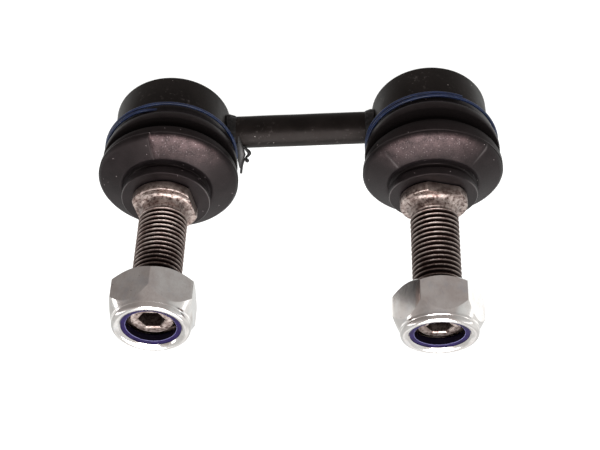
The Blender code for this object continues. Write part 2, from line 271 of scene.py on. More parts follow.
def makeClipWire():
    look = clipWire
    material, tree, shader, where = startFinish("blueWire")
    patch = noiseOf(tree, where, look["patchSize"])
    wear = noiseOf(tree, where, look["wearSize"], 5.0)
    blue = rampOf(tree, patch, (0.35, look["dark"]), (0.65, look["light"]))
    worn = rampOf(tree, wear, (0.66, 0.0), (0.74, 1.0))
    colour = blendOf(tree, worn, blue, look["worn"])
    finishShader(tree, shader, look, colour, roughnessOf(tree, wear, look))
    bumpOf(tree, shader, wear, look["wearDepth"])
    return material


studSteel = {
    "crest": (0.27, 0.20, 0.18),
    "groove": (0.022, 0.012, 0.010),
    "smear": (0.54, 0.455, 0.42),
    "stain": (0.085, 0.050, 0.043),
    "pit": (0.02, 0.015, 0.015),
    "smearSize": 2.2,
    "stainSize": 0.8,
    "grainSize": 0.12,
    "grainDepth": 0.012,
    "pits": (0.7, 0.09, 0.22),
    "roughness": 0.25,
    "smearRoughness": 0.25,
    "grooveRoughness": 0.15,
    "metallic": 1.0,
}


def makeStudSteel():
    look = studSteel
    material, tree, shader, where = startFinish("phosphatedSteel")
    smear = noiseOf(tree, where, look["smearSize"], 5.0, 0.65)
    stain = noiseOf(tree, where, look["stainSize"], 5.0, 0.7)
    grain = noiseOf(tree, where, look["grainSize"], 2.0)
    pits = specksOf(tree, where, *look["pits"])
    groove = attributeOf(tree, "groove")
    rough = attributeOf(tree, "rough")
    bright = rampOf(tree, smear, (0.35, look["crest"]), (0.6, look["smear"]))
    stained = rampOf(tree, stain, (0.45, 0.0), (0.62, 1.0))
    stained = mathOf(tree, "MULTIPLY", stained, rough)
    colour = blendOf(tree, stained, bright, look["stain"])
    colour = blendOf(tree, groove, colour, look["groove"])
    colour = blendOf(tree, mathOf(tree, "MULTIPLY", pits, rough), colour, look["pit"])
    roughness = mathOf(tree, "MULTIPLY_ADD", smear, look["smearRoughness"], look["roughness"])
    roughness = mathOf(tree, "MULTIPLY_ADD", groove, look["grooveRoughness"], roughness)
    finishShader(tree, shader, look, colour, roughness)
    relief = mathOf(tree, "ADD", mathOf(tree, "MULTIPLY", stain, rough), grain)
    bumpOf(tree, shader, relief, look["grainDepth"])
    return material


nutZinc = {
    "dull": (0.64, 0.595, 0.575),
    "bright": (0.74, 0.715, 0.70),
    "bluish": (0.50, 0.54, 0.61),
    "speck": (0.10, 0.085, 0.08),
    "cloudSize": 4.0,
    "brushSize": 0.3,
    "brushStretch": 0.1,
    "tintSize": 5.0,
    "tintShare": 0.3,
    "scratchDepth": 0.003,
    "pits": (1.6, 0.12, 0.15),
    "roughness": (0.12, 0.20),
    "metallic": 1.0,
}


def makeNutZinc():
    look = nutZinc
    material, tree, shader, where = startFinish("brightZinc")
    along = tree.nodes.new("ShaderNodeMapping")
    along.inputs["Scale"].default_value = (1, 1, look["brushStretch"])
    tree.links.new(where, along.inputs["Vector"])
    cloud = noiseOf(tree, where, look["cloudSize"], 6.0, 0.65)
    brush = noiseOf(tree, along.outputs["Vector"], look["brushSize"], 4.0, 0.7)
    tint = noiseOf(tree, where, look["tintSize"], 5.0, 0.65)
    plate = rampOf(tree, cloud, (0.38, look["dull"]), (0.62, look["bright"]))
    tinted = rampOf(tree, tint, (0.54, 0.0), (0.68, look["tintShare"]))
    colour = blendOf(tree, tinted, plate, look["bluish"])
    worn = rampOf(tree, brush, (0.32, 0.12), (0.42, 0.0))
    colour = blendOf(tree, worn, colour, look["speck"])
    pits = specksOf(tree, where, *look["pits"])
    colour = blendOf(tree, pits, colour, look["speck"])
    finishShader(tree, shader, look, colour, roughnessOf(tree, brush, look))
    bumpOf(tree, shader, brush, look["scratchDepth"])
    return material


insertNylon = {
    "dark": (0.0055, 0.0026, 0.022),
    "light": (0.0110, 0.0056, 0.046),
    # painted shade on the bore's wall, and a painted highlight on its inner edge
    "inside": (0.0025, 0.0018, 0.0065),
    "edge": (0.22, 0.21, 0.40),
    "patchSize": 1.8,
    "patchDepth": 0.01,
    "roughness": (0.28, 0.40),
    "specular": 0.08,
}


def makeInsertNylon():
    look = insertNylon
    material, tree, shader, where = startFinish("violetNylon")
    patch = noiseOf(tree, where, look["patchSize"])
    face = rampOf(tree, patch, (0.35, look["dark"]), (0.65, look["light"]))
    # Painted shade on the bore's wall, and a painted highlight on the inner edge's rounding
    colour = blendOf(tree, attributeOf(tree, "inside"), face, look["inside"])
    colour = blendOf(tree, attributeOf(tree, "edge"), colour, look["edge"])
    finishShader(tree, shader, look, colour, roughnessOf(tree, patch, look))
    bumpOf(tree, shader, patch, look["patchDepth"])
    return material


weldScale = {
    "dark": (0.004, 0.0035, 0.0035),
    "light": (0.020, 0.017, 0.017),
    "scratchAndHighlight": (0.42, 0.40, 0.40),
    "patchSize": 0.6,
    "patchDepth": 0.05,
    "roughness": (0.30, 0.50),
    "specular": 0.2,
}


def makeWeldScale():
    look = weldScale
    material, tree, shader, where = startFinish("paintedWeld")
    patch = noiseOf(tree, where, look["patchSize"], 5.0, 0.65)
    scale = rampOf(tree, patch, (0.45, look["dark"]), (0.72, look["light"]))
    # Painted highlight on the middle of the torn skin
    colour = blendOf(tree, attributeOf(tree, "scratchAndHighlight"), scale, look["scratchAndHighlight"])
    finishShader(tree, shader, look, colour, roughnessOf(tree, patch, look))
    bumpOf(tree, shader, patch, look["patchDepth"])
    return material


seatPlastic = {
    "dark": (0.62, 0.61, 0.56),
    "light": (0.72, 0.71, 0.67),
    "patchSize": 3.0,
    "roughness": (0.35, 0.50),
}


def makeSeatPlastic():
    look = seatPlastic
    material, tree, shader, where = startFinish("whitePlastic")
    patch = noiseOf(tree, where, look["patchSize"])
    colour = rampOf(tree, patch, (0.3, look["dark"]), (0.7, look["light"]))
    finishShader(tree, shader, look, colour, roughnessOf(tree, patch, look))
    return material


paint = makeBlackPaint()
rubber = makeBootRubber()
wire = makeClipWire()
steel = makeStudSteel()
zinc = makeNutZinc()
nylon = makeInsertNylon()
weldPaint = makeWeldScale()
plastic = makeSeatPlastic()
print("materials made")


# Modelling helpers

mergeDistance = 0.002 * mm


def newThing(name, data):
    thing = bpy.data.objects.new(name, data)
    bpy.context.scene.collection.objects.link(thing)
    return thing


def smoothStep(low, high, value):
    share = min(max((value - low) / (high - low), 0), 1)
    return share * share * (3 - 2 * share)


def turnedShape(corners, steps, closed=True, segments=5):
    # Turns an outline round the Z axis. Its corners are (radius, height, rounding) in millimetres.
    shape = bmesh.new()
    points = [shape.verts.new((radius * mm, 0, height * mm)) for radius, height, _ in corners]
    pairs = list(zip(points, points[1:]))
    if closed:
        pairs.append((points[-1], points[0]))
    for pair in pairs:
        shape.edges.new(pair)
    for point, (_, _, rounding) in zip(points, corners):
        if rounding:
            bmesh.ops.bevel(
                shape, geom=[point], offset=rounding * mm, offset_type="OFFSET",
                affect="VERTICES", segments=segments, profile=0.5, material=-1,
            )
    bmesh.ops.spin(
        shape, geom=shape.verts[:] + shape.edges[:], cent=(0, 0, 0), axis=(0, 0, 1),
        angle=math.tau, steps=steps, use_merge=True,
    )
    bmesh.ops.remove_doubles(shape, verts=shape.verts, dist=mergeDistance)
    bmesh.ops.recalc_face_normals(shape, faces=shape.faces)
    return shape


def combine(first, second, operation):
    # Cuts or intersects two closed shapes
    things = []
    for shape in (first, second):
        mesh = bpy.data.meshes.new("working")
        shape.to_mesh(mesh)
        shape.free()
        things.append(newThing("working", mesh))
    change = things[0].modifiers.new("combine", "BOOLEAN")
    change.operation = operation
    change.solver = "EXACT"
    change.object = things[1]
    result = bmesh.new()
    result.from_object(things[0], bpy.context.evaluated_depsgraph_get())
    for thing in things:
        mesh = thing.data
        bpy.data.objects.remove(thing)
        bpy.data.meshes.remove(mesh)
    return result


def addCurve(shape, curve):
    # Adds a round wire that follows a curve; its caps have short edges, so little is merged
    thing = newThing("working", curve)
    tube = bpy.data.meshes.new_from_object(thing)
    shape.from_mesh(tube)
    bpy.data.objects.remove(thing)
    bpy.data.meshes.remove(tube)
    bmesh.ops.remove_doubles(shape, verts=shape.verts, dist=mergeDistance / 10)


def addPiece(name, shape, place, material, body, replaced, sharp=35):
    shape.transform(place)
    mesh = bpy.data.meshes.new(name)
    shape.to_mesh(mesh)
    shape.free()
    mesh.materials.append(material)
    mesh.shade_smooth()
    mesh.set_sharp_from_angle(angle=math.radians(sharp))
    piece = newThing(name, mesh)
    if body:
        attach(piece, body)
    if replaced:
        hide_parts(*replaced)
    return piece


# Housings, in millimetres from the ball centre

housing = {
    "steps": 128,
    "radius": 14.3,
    "back": -10.0,
    "backRound": 0.8,
    "rimRadius": 11.6,
    "pocketRadius": 12.4,
    "rimThickness": 0.95,
    "coverTop": -8.1,
    "bore": 10.8,
    "shoulder": 1.2,
    "bootSeatRadius": 13.2,
    "mouthFlangeRadius": 13.7,
    "mouthFlangeLow": 4.8,
    "top": 5.8,
    "mouthRadius": 10.9,
    "lipRadius": 8.9,
    "lipHeight": 3.2,
    "edge": 0.2,
}


def makeHousing(side):
    h = housing
    corners = [
        (h["mouthRadius"], h["top"], h["edge"]),
        (h["mouthFlangeRadius"], h["top"], h["edge"]),
        (h["mouthFlangeRadius"], h["mouthFlangeLow"], h["edge"]),
        (h["bootSeatRadius"], h["mouthFlangeLow"] - h["edge"], 0),
        (h["bootSeatRadius"], h["shoulder"], 0),
        (h["radius"], h["shoulder"], h["edge"]),
        (h["radius"], h["back"], h["backRound"]),
        (h["rimRadius"], h["back"], h["edge"]),
        (h["pocketRadius"], h["back"] + h["rimThickness"], 0),
        (h["pocketRadius"], h["coverTop"], 0),
        (h["bore"], h["coverTop"], 0),
        (h["bore"], h["lipHeight"], 0),
        (h["lipRadius"], h["lipHeight"], 0),
    ]
    shape = turnedShape(corners, h["steps"])
    addPiece(
        side + "Housing", shape, uprightPlace(side), paint, "link_body",
        [side + "_housing"],
    )


cover = {
    "steps": 96,
    "radius": 12.1,
    "rimRadius": 11.3,
    "rimThickness": 0.8,
    "top": -8.4,
    "back": -10.0,
    "grooveOuter": 8.0,
    "grooveInner": 6.0,
    "grooveDepth": 0.4,
    "grooveSlope": 0.4,
    "edge": 0.15,
}


def makeCover(side):
    c = cover
    floor = c["back"] + c["grooveDepth"]
    corners = [
        (0, c["top"], 0),
        (c["radius"], c["top"], 0),
        (c["radius"], c["back"] + c["rimThickness"], 0),
        (c["rimRadius"], c["back"], c["edge"]),
        (c["grooveOuter"], c["back"], c["edge"]),
        (c["grooveOuter"] - c["grooveSlope"], floor, c["edge"]),
        (c["grooveInner"] + c["grooveSlope"], floor, c["edge"]),
        (c["grooveInner"], c["back"], c["edge"]),
        (0, c["back"], 0),
    ]
    shape = turnedShape(corners, c["steps"], closed=False)
    addPiece(
        side + "HousingCover", shape, uprightPlace(side), paint, "link_body",
        [side + "_housing_cover"],
    )


for side in sides:
    makeHousing(side)
    makeCover(side)
print("housings made")


# Bar, welds and the torn flake of paint beside the right weld

bar = {
    "steps": 64,
    "radius": 4.0,
    "drop": -4.4,
    "gap": 0.3,
    "length": 64.4,
    "stations": 60,
    "skinRadius": 3.5,  # the forged skin's waves start here
    "waveSize": 5.0,
    "waveHeight": 0.03,
}


def makeBar():
    b = bar
    shape = bmesh.new()
    bmesh.ops.create_circle(shape, cap_ends=True, segments=b["steps"], radius=b["radius"] * mm)
    shape.transform(Matrix.Rotation(math.pi / 2, 4, "Y"))
    shape.transform(Matrix.Translation((0, 0, b["drop"] * mm)))
    grown = bmesh.ops.extrude_face_region(shape, geom=shape.faces[:])
    moved = [thing for thing in grown["geom"] if isinstance(thing, bmesh.types.BMVert)]
    bmesh.ops.translate(shape, verts=moved, vec=(b["length"] * mm, 0, 0))
    lengthwise = [e for e in shape.edges if abs(e.verts[0].co.x - e.verts[1].co.x) > mm]
    bmesh.ops.subdivide_edges(shape, edges=lengthwise, cuts=b["stations"], use_grid_fill=True)
    bmesh.ops.recalc_face_normals(shape, faces=shape.faces)
    reach = (housing["radius"] + b["gap"]) * mm
    for middle in (0, b["length"]):
        tool = bmesh.new()
        bmesh.ops.create_cone(
            tool, cap_ends=True, segments=96, radius1=reach, radius2=reach, depth=0.05
        )
        tool.transform(Matrix.Translation((middle * mm, 0, 0)))
        shape = combine(shape, tool, "DIFFERENCE")
    for vertex in shape.verts:
        offset = Vector((0, vertex.co.y, vertex.co.z - b["drop"] * mm))
        if offset.length > b["skinRadius"] * mm:
            wave = noise.noise(vertex.co / (b["waveSize"] * mm))
            vertex.co += offset.normalized() * wave * b["waveHeight"] * mm
    addPiece(
        "linkBar", shape, uprightPlace("left"), paint, "link_body", ["link_bar"]
    )


weld = {
    "steps": 96,
    "inner": 4.02,
    "outer": 4.5,
    "reach": 1.5,
    "root": 14.6,
    "shoulder": 0.2,  # from the root to the bead's highest ring
    "sunk": 1.0,  # what lies behind the root, before the end is fitted to the wall
    "toe": 0.1,
    "drop": -4.4,
    "ripple": 0.22,
    "rippleSize": 1.1,
    "lump": {"left": 0.1, "right": 0.15},
    "lumpAngle": -0.5,
    "lumpWidth": 0.5,
}


def makeWeld(side, towards):
    w = weld
    end = w["root"] + w["reach"]
    shoulder = w["root"] + w["shoulder"]
    corners = [
        (w["inner"], end, 0),
        (w["inner"] + w["toe"], end - 0.15, 0.1),
        (w["outer"], shoulder, 0.6),
        (w["outer"] + 0.1, w["root"] - w["sunk"], 0),
        (w["inner"] - 0.3, w["root"] - w["sunk"], 0),
        (w["inner"] - 0.3, end - 0.2, 0),
    ]
    shape = turnedShape(corners, w["steps"])
    bmesh.ops.subdivide_edges(
        shape, edges=[e for e in shape.edges if e.calc_length() > 0.4 * mm], cuts=2,
        use_grid_fill=True,
    )
    shape.transform(Matrix.Rotation(towards * math.pi / 2, 4, "Y"))
    for vertex in shape.verts:
        away = Vector((0, vertex.co.y, vertex.co.z))
        height = away.length / mm - w["inner"]
        if height > w["toe"]:
            wave = noise.noise(vertex.co / (w["rippleSize"] * mm) + Vector((towards * 7, 0, 0)))
            angle = math.atan2(vertex.co.z, -vertex.co.y)
            lump = w["lump"][side] * math.exp(-((angle - w["lumpAngle"]) / w["lumpWidth"]) ** 2)
            vertex.co += away.normalized() * (wave * w["ripple"] + lump * height) * mm
    # The end towards the housing follows its round wall
    for vertex in shape.verts:
        share = (shoulder - towards * vertex.co.x / mm) / (shoulder - w["root"] + w["sunk"])
        if share > 0:
            wall = math.sqrt(w["root"] ** 2 - (vertex.co.y / mm) ** 2)
            vertex.co.x = towards * (shoulder - share * (shoulder - wall)) * mm
    bmesh.ops.recalc_face_normals(shape, faces=shape.faces)
    shape.transform(Matrix.Translation((0, 0, w["drop"] * mm)))
    addPiece(
        side + "WeldBead", shape, uprightPlace(side), weldPaint, "link_body",
        [side + "_weld_bead"], sharp=60,
    )


tornSkin = {
    "barRadius": 4.05,
    "start": -1.9,
    "end": 7.7,
    "curl": 0.012,
    "thickness": 0.22,
    "arch": 0.25,
    "raggedRate": 1.3,
    "raggedEdge": 0.12,
    # painted highlight on the skin's middle: how pale, then where it lies and how big it is
    "pale": 0.3,
    "highlightSpot": (3.2, 2.4, -0.15, 0.2),  # middle and size along, then across
    "middles": ((-1.9, 47.6), (1.4, 47.4), (4.0, 47.4), (7.7, 48.0)),
    "halfWidths": ((-1.9, 0.15), (1.4, 0.9), (3.6, 1.1), (5.5, 0.75), (7.7, 0.12)),
    "strandRadius": 0.32,
    # x and y from the left ball centre, height above the bar's top, and thickness as a share
    "strands": (
        ((46.7, 1.0, 0.1, 0.9), (46.0, 2.0, 0.3, 1.1), (45.2, 2.9, 0.5, 1.7), (45.5, 3.7, 0.5, 1.3),
         (46.4, 4.8, 0.4, 0.7), (47.1, 6.1, 0.3, 0.8), (47.6, 7.7, 0.2, 1.1), (47.9, 10.0, 0.1, 1.0)),
        ((46.6, 5.0, 0.4, 0.7), (46.2, 5.8, 0.5, 1.2), (45.7, 5.5, 0.6, 1.3), (46.1, 4.9, 0.5, 0.6)),
    ),
}


def valueAlong(stops, place):
    # Straight-line value between (place, value) stops
    for (low, first), (high, second) in zip(stops, stops[1:]):
        if place <= high:
            return first + (second - first) * (place - low) / (high - low)
    return stops[-1][1]


def makeTornSkin():
    t = tornSkin
    shape = bmesh.new()
    bmesh.ops.create_grid(shape, x_segments=10, y_segments=40, size=0.5)
    scratchAndHighlight = shape.verts.layers.float.new("scratchAndHighlight")
    # A painted highlight, palest in the skin's middle
    spotAlong, spotLength, spotAcross, spotWidth = t["highlightSpot"]
    for vertex in shape.verts:
        along = t["start"] + (t["end"] - t["start"]) * (vertex.co.y + 0.5)
        across = vertex.co.x * 2 * valueAlong(t["halfWidths"], along)
        off = ((along - spotAlong) / spotLength) ** 2 + ((vertex.co.x - spotAcross) / spotWidth) ** 2
        vertex[scratchAndHighlight] = math.exp(-off) * t["pale"]
        ragged = noise.noise(Vector((along * t["raggedRate"], vertex.co.x, 3.0))) * t["raggedEdge"]
        over = min(along, 0.0)
        height = math.sqrt(t["barRadius"] ** 2 - over ** 2) + t["curl"] * max(along, 0) ** 2
        height += t["arch"] * across ** 2
        vertex.co = Vector((valueAlong(t["middles"], along) + across + ragged, along, height)) * mm
    bmesh.ops.recalc_face_normals(shape, faces=shape.faces)
    bmesh.ops.solidify(shape, geom=shape.faces[:], thickness=t["thickness"] * mm)
    for strand in t["strands"]:
        curve = bpy.data.curves.new("strand", "CURVE")
        curve.dimensions = "3D"
        curve.bevel_depth = t["strandRadius"] * mm
        curve.bevel_resolution = 3
        curve.use_fill_caps = True
        line = curve.splines.new("NURBS")
        line.points.add(len(strand) - 1)
        for point, (x, y, height, share) in zip(line.points, strand):
            point.co = (x * mm, y * mm, (bar["radius"] + height) * mm, 1)
            point.radius = share
        line.order_u = 3
        line.use_endpoint_u = True
        line.resolution_u = 6
        addCurve(shape, curve)
    shape.transform(Matrix.Translation((0, 0, bar["drop"] * mm)))
    bmesh.ops.recalc_face_normals(shape, faces=shape.faces)
    addPiece(
        "tornPaintSkin", shape, uprightPlace("left"), weldPaint, "link_body", [],
        sharp=50,
    )


makeBar()
makeWeld("left", 1)
makeWeld("right", -1)
makeTornSkin()
print("bar and welds made")


# Boots, in two halves, bent with the stud's lean: not at all low down by the housing's lip, fully at the
# stud's collar

boot = {
    "steps": 384,
    "bendStart": 6.0,
    "bendEnd": 15.0,
    "crestRadius": 17.1,
    "crestHeight": 11.35,
    "innerRadius": 13.95,
    "blendEnd": 14.0,
    "shoulderRadius": 1.5,
    "shoulderHeight": 10.9,
    "shoulderDegrees": 26.0,
    "shoulderSteps": 7,
    "coneTop": (11.4, 14.2),
    "coneDegrees": 22.0,
    "coneDepth": 1.2,
    # degrees round the stud, from and to these radii, depth and paleness
    "creases": {
        "left": ((-43.5, 11.8, 15.4, 0.10, 0.35), (-139.0, 15.5, 16.8, 0.06, 0.2)),
        "right": ((-81.0, 11.9, 17.2, 0.45, 0.0), (-152.0, 12.5, 15.0, 0.06, 0.1)),
    },
    "creaseWidth": 0.24,
    "creaseFade": 0.5,
    # painted shade: the groove under the crest is painted black; from, full, to and end, by height
    "grooveShade": (7.2, 7.8, 9.2, 11.9),
    # painted shade on the upright wall below the shoulder: how dark, and over how wide a band
    "wallShade": 0.6,
    "wallBand": 0.6,
    # where the dust with painted sheen starts and ends, and how soft each end is
    "dustAndSheen": {"left": (-50.0, 50.0, -122.0, 45.0), "right": (-80.5, 2.0, -135.0, 45.0)},
    "dustAndSheenShare": {"left": 0.8, "right": 1.0},
    # paleness of the dust and painted sheen by radius: on the cone, and most on the shoulder, where the
    # painted sheen is brightest
    "dustAndSheenByRadius": ((11.4, 0.0), (12.6, 0.4), (14.4, 0.55), (15.4, 1.0), (16.4, 1.0), (16.9, 0.0)),
    # the painted highlight along the collar's top edge, at both sides
    "collarHighlight": {"radius": 10.62, "low": 17.25, "start": 0.65, "full": 0.95, "pale": 0.22},
}


def bootLowerCorners():
    b = boot
    wall = b["crestRadius"] - 0.05
    return [
        (b["crestRadius"] - 0.02, b["crestHeight"], 0),
        (wall - 0.04, b["crestHeight"] - 0.12, 0.05),
        (wall, b["shoulderHeight"], 0),
        (wall, 10.1, 0.6),
        (14.6, 8.8, 0.35),
        (16.2, 7.9, 0.25),
        (16.6, 7.3, 0.4),
        (16.5, 6.2, 0.4),
        (16.2, 5.5, 0.3),
        (15.4, 5.2, 0.25),
        (15.35, 1.8, 0.2),
        (14.95, 1.4, 0.2),
        (13.5, 1.4, 0),
        (13.5, 4.2, 0),
        (14.0, 4.5, 0),
        (14.0, 6.1, 0.3),
        (13.1, 8.8, 0.4),
        (15.6, 10.4, 0.1),
        (15.6, 10.7, 0.1),
        (b["innerRadius"], b["crestHeight"], 0),
    ]


def bootUpperCorners():
    b = boot
    # The shoulder is an arc from the upright wall to the cone
    middle = b["crestRadius"] - 0.05 - b["shoulderRadius"]
    arc = []
    for i in range(b["shoulderSteps"], -1, -1):
        span = 90 - b["coneDegrees"] - b["shoulderDegrees"]
        angle = math.radians(b["shoulderDegrees"] + span * i / b["shoulderSteps"])
        rise = b["shoulderRadius"] * math.sin(angle)
        arc.append((middle + b["shoulderRadius"] * math.cos(angle), b["shoulderHeight"] + rise, 0))
    return [
        (6.6, 17.5, 0),
        (10.75, 17.5, 0.3),
        (10.75, 15.5, 0.15),
        (9.7, 14.9, 0.2),
        (9.7, 14.1, 0.3),
        (10.6, 13.85, 0.3),
        (*b["coneTop"], 0.5),
        *arc,
        (b["crestRadius"] - 0.2, b["crestHeight"] + 0.12, 0.03),
        (b["crestRadius"] - 0.02, b["crestHeight"], 0),
        (b["innerRadius"], b["crestHeight"], 0),
        (9.6, 12.9, 0.3),
        (7.9, 14.1, 0),
        (7.9, 17.2, 0),
        (6.6, 17.2, 0),
    ]


def paintGrooveShade(shape):
    # Painted shade: plain black in the groove under the crest, where the crest shades it
    b = boot
    deep = shape.verts.layers.float.new("deep")
    start, full, fade, end = b["grooveShade"]
    for vertex in shape.verts:
        height = vertex.co.z / mm
        vertex[deep] = smoothStep(start, full, height) * smoothStep(end, fade, height)


def creaseBoot(side, shape):
    # Presses the creases in, marks their pale scratches, and paints the highlight on the collar's edge,
    # the shade on the wall and the dust with sheen on the cone
    b = boot
    dustAndSheen = shape.verts.layers.float.new("dustAndSheen")
    scratchAndHighlight = shape.verts.layers.float.new("scratchAndHighlight")
    deep = shape.verts.layers.float.new("deep")
    innerRadius, high = b["coneTop"]
    slope = math.tan(math.radians(b["coneDegrees"]))
    begin, soft, finish, softer = b["dustAndSheen"][side]
    line = b["collarHighlight"]
    for vertex in shape.verts:
        radius = math.hypot(vertex.co.x, vertex.co.y) / mm
        height = vertex.co.z / mm
        # Painted highlight along the collar's top edge, at its left and right sides
        if height > line["low"] and radius > line["radius"]:
            beside = abs(vertex.co.x / mm) / radius
            vertex[scratchAndHighlight] = line["pale"] * smoothStep(line["start"], line["full"], beside)
        # Painted shade on the upright wall, darkest at the crest's radius
        wall = smoothStep(b["crestRadius"] - b["wallBand"], b["crestRadius"], radius)
        vertex[deep] = b["wallShade"] * wall
        surface = high - slope * (radius - innerRadius)
        if radius < innerRadius or height < surface - b["coneDepth"]:
            continue
        degrees = math.degrees(math.atan2(vertex.co.y, vertex.co.x))
        # Dust with a painted sheen: brightest at the front and on the shoulder, fading round the sides
        spread = b["dustAndSheenShare"][side] * smoothStep(begin + soft / 2, begin - soft / 2, degrees)
        spread *= smoothStep(finish - softer / 2, finish + softer / 2, degrees)
        vertex[dustAndSheen] = spread * valueAlong(b["dustAndSheenByRadius"], radius)
        fade = b["creaseFade"]
        for place, nearest, farthest, depth, pale in b["creases"][side]:
            away = math.radians(degrees - place) * radius / b["creaseWidth"]
            inside = smoothStep(nearest - fade, nearest + fade, radius)
            inside *= smoothStep(farthest + fade, farthest - fade, radius)
            inside *= math.exp(-away ** 2)
            vertex.co.z -= depth * inside * mm
            vertex[scratchAndHighlight] = max(vertex[scratchAndHighlight], pale * inside)


def bootTurn(side, height):
    # How far the boot has turned with the stud at a height above the ball centre, in millimetres
    axis, angle = studPlace(side).to_quaternion().to_axis_angle()
    return Matrix.Rotation(angle * smoothStep(boot["bendStart"], boot["bendEnd"], height), 3, axis)


def makeBoot(side):
    b = boot
    crestAxis = bootTurn(side, b["crestHeight"]) @ Vector((0, 0, 1))

    middleBody, collarBody = side + "_boot_body", side + "_collar_body"
    halves = (
        ("Lower", bootLowerCorners(), "link_body", middleBody, b["bendStart"], b["crestHeight"]),
        ("Upper", bootUpperCorners(), middleBody, collarBody, b["crestHeight"], b["blendEnd"]),
    )
    for half, corners, lowBody, highBody, start, end in halves:
        shape = turnedShape(corners, b["steps"])
        if half == "Upper":
            creaseBoot(side, shape)
        else:
            paintGrooveShade(shape)
        for vertex in shape.verts:
            vertex.co = bootTurn(side, vertex.co.z / mm) @ vertex.co
        piece = addPiece(
            side + "Boot" + half, shape, uprightPlace(side), rubber, None,
            [side + "_boot"], sharp=50,
        )
        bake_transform(piece)


for side in sides:
    makeBoot(side)
print("boots made")


# Wire clips

clip = {
    "wireRadius": 0.4,
    "ringRadius": 16.05,
    "pitch": 1.25,
    "turns": {"left": 1.6, "right": 1.45},
    "way": {"left": 1, "right": -1},
    "startHeight": {"left": 2.3, "right": 1.85},
    "startDegrees": {"left": 243, "right": 78},
    "pointsPerTurn": 96,
    "pinch": {"left": 0.45, "right": 0.0},
    "pinchTurns": 0.1,
    "tuck": 0.75,
    "tuckTurns": 0.06,
}


def makeClip(side):
    c = clip
    curve = bpy.data.curves.new(side + "Clip", "CURVE")
    curve.dimensions = "3D"
    curve.bevel_depth = c["wireRadius"] * mm
    curve.bevel_resolution = 4
    curve.use_fill_caps = True
    count = round(c["turns"][side] * c["pointsPerTurn"]) + 1
    line = curve.splines.new("POLY")
    line.points.add(count - 1)
    for i, point in enumerate(line.points):
        turns = i / c["pointsPerTurn"]
        angle = math.radians(c["startDegrees"][side]) + c["way"][side] * math.tau * turns
        pinch = c["pinch"][side] * math.exp(-((turns - 1) / c["pinchTurns"]) ** 2)
        height = c["startHeight"][side] + c["pitch"] * turns - pinch
        last = smoothStep(c["turns"][side] - c["tuckTurns"], c["turns"][side], turns)
        radius = (c["ringRadius"] - c["tuck"] * last) * mm
        point.co = (radius * math.cos(angle), radius * math.sin(angle), height * mm, 1)
    shape = bmesh.new()
    addCurve(shape, curve)
    bmesh.ops.recalc_face_normals(shape, faces=shape.faces)
    addPiece(
        side + "BootClip", shape, uprightPlace(side), wire, "link_body",
        [side + "_boot_clip"], sharp=50,
    )


for side in sides:
    makeClip(side)
print("clips made")


# Ball studs: turned blank, helical thread, wrench flats and hexagon socket

stud = {
    "steps": 96,
    "ballRadius": 8.0,
    "ballFlat": -6.9,
    "ballSteps": 28,
    "neckRadius": 4.9,
    "neckEnd": 9.6,
    "seatRadius": 6.3,
    "seatStart": 12.8,
    "flangeStart": 17.8,
    "flangeEnd": 20.3,
    "flangeRadius": 8.2,
    "flangeEdge": 0.35,
    "fillet": 1.7,
    "plainRadius": 5.55,
    "plainEnd": 22.4,
    "threadFull": 24.2,
    "crestRadius": 5.87,
    "rootRadius": 5.12,
    "pitch": 1.25,
    "rowsPerPitch": 10,
    # shares of half a pitch
    "crestShare": 0.06,
    "flankShare": 0.66,
    "end": 52.6,
    "endRadius": 4.85,
    "endChamfer": 0.9,
    "darkDepth": 0.225,  # below the crests the dark groove is full from here on
    "threadClean": 0.6,
    "flatCutter": (4.0, 24.0, 2.8),
    "flats": 14.0,
    "flatDegrees": {"left": 70.7, "right": 9.0},
    "socketFlats": 5.5,
    "socketDepth": 5.0,
    "socketBevel": 0.25,
}


def threadRadius(height, angle):
    # Radius of the thread's surface, in millimetres
    s = stud
    phase = (height / s["pitch"] - angle / math.tau) % 1
    away = abs(phase - 0.5) * 2  # 0 at the crest, 1 at the root
    depth = smoothStep(0.0, 1.0, (away - s["crestShare"]) / s["flankShare"])
    ridge = s["crestRadius"] - (s["crestRadius"] - s["rootRadius"]) * depth
    started = smoothStep(s["plainEnd"], s["threadFull"], height)
    radius = s["plainRadius"] + (ridge - s["plainRadius"]) * started
    return min(radius, s["endRadius"] + s["end"] - height)


def makeThread():
    # Rows of points one pitch longer than the thread, sheared into a helix and squared at both ends
    s = stud
    row = s["pitch"] / s["rowsPerPitch"]
    count = round((s["end"] - s["plainEnd"]) / row) + s["rowsPerPitch"] + 1
    shape = bmesh.new()
    low = s["plainEnd"] - s["pitch"]
    points = [shape.verts.new((mm, 0, (low + i * row) * mm)) for i in range(count)]
    for pair in zip(points, points[1:]):
        shape.edges.new(pair)
    bmesh.ops.spin(
        shape, geom=shape.verts[:] + shape.edges[:], cent=(0, 0, 0), axis=(0, 0, 1),
        dvec=(0, 0, s["pitch"] * mm / s["steps"]), angle=math.tau, steps=s["steps"],
        use_merge=False,
    )
    for vertex in shape.verts:
        height = min(max(vertex.co.z / mm, s["plainEnd"]), s["end"])
        angle = math.atan2(vertex.co.y, vertex.co.x)
        radius = threadRadius(height, angle) * mm
        vertex.co = (radius * math.cos(angle), radius * math.sin(angle), height * mm)
    bmesh.ops.remove_doubles(shape, verts=shape.verts, dist=mergeDistance)
    return shape


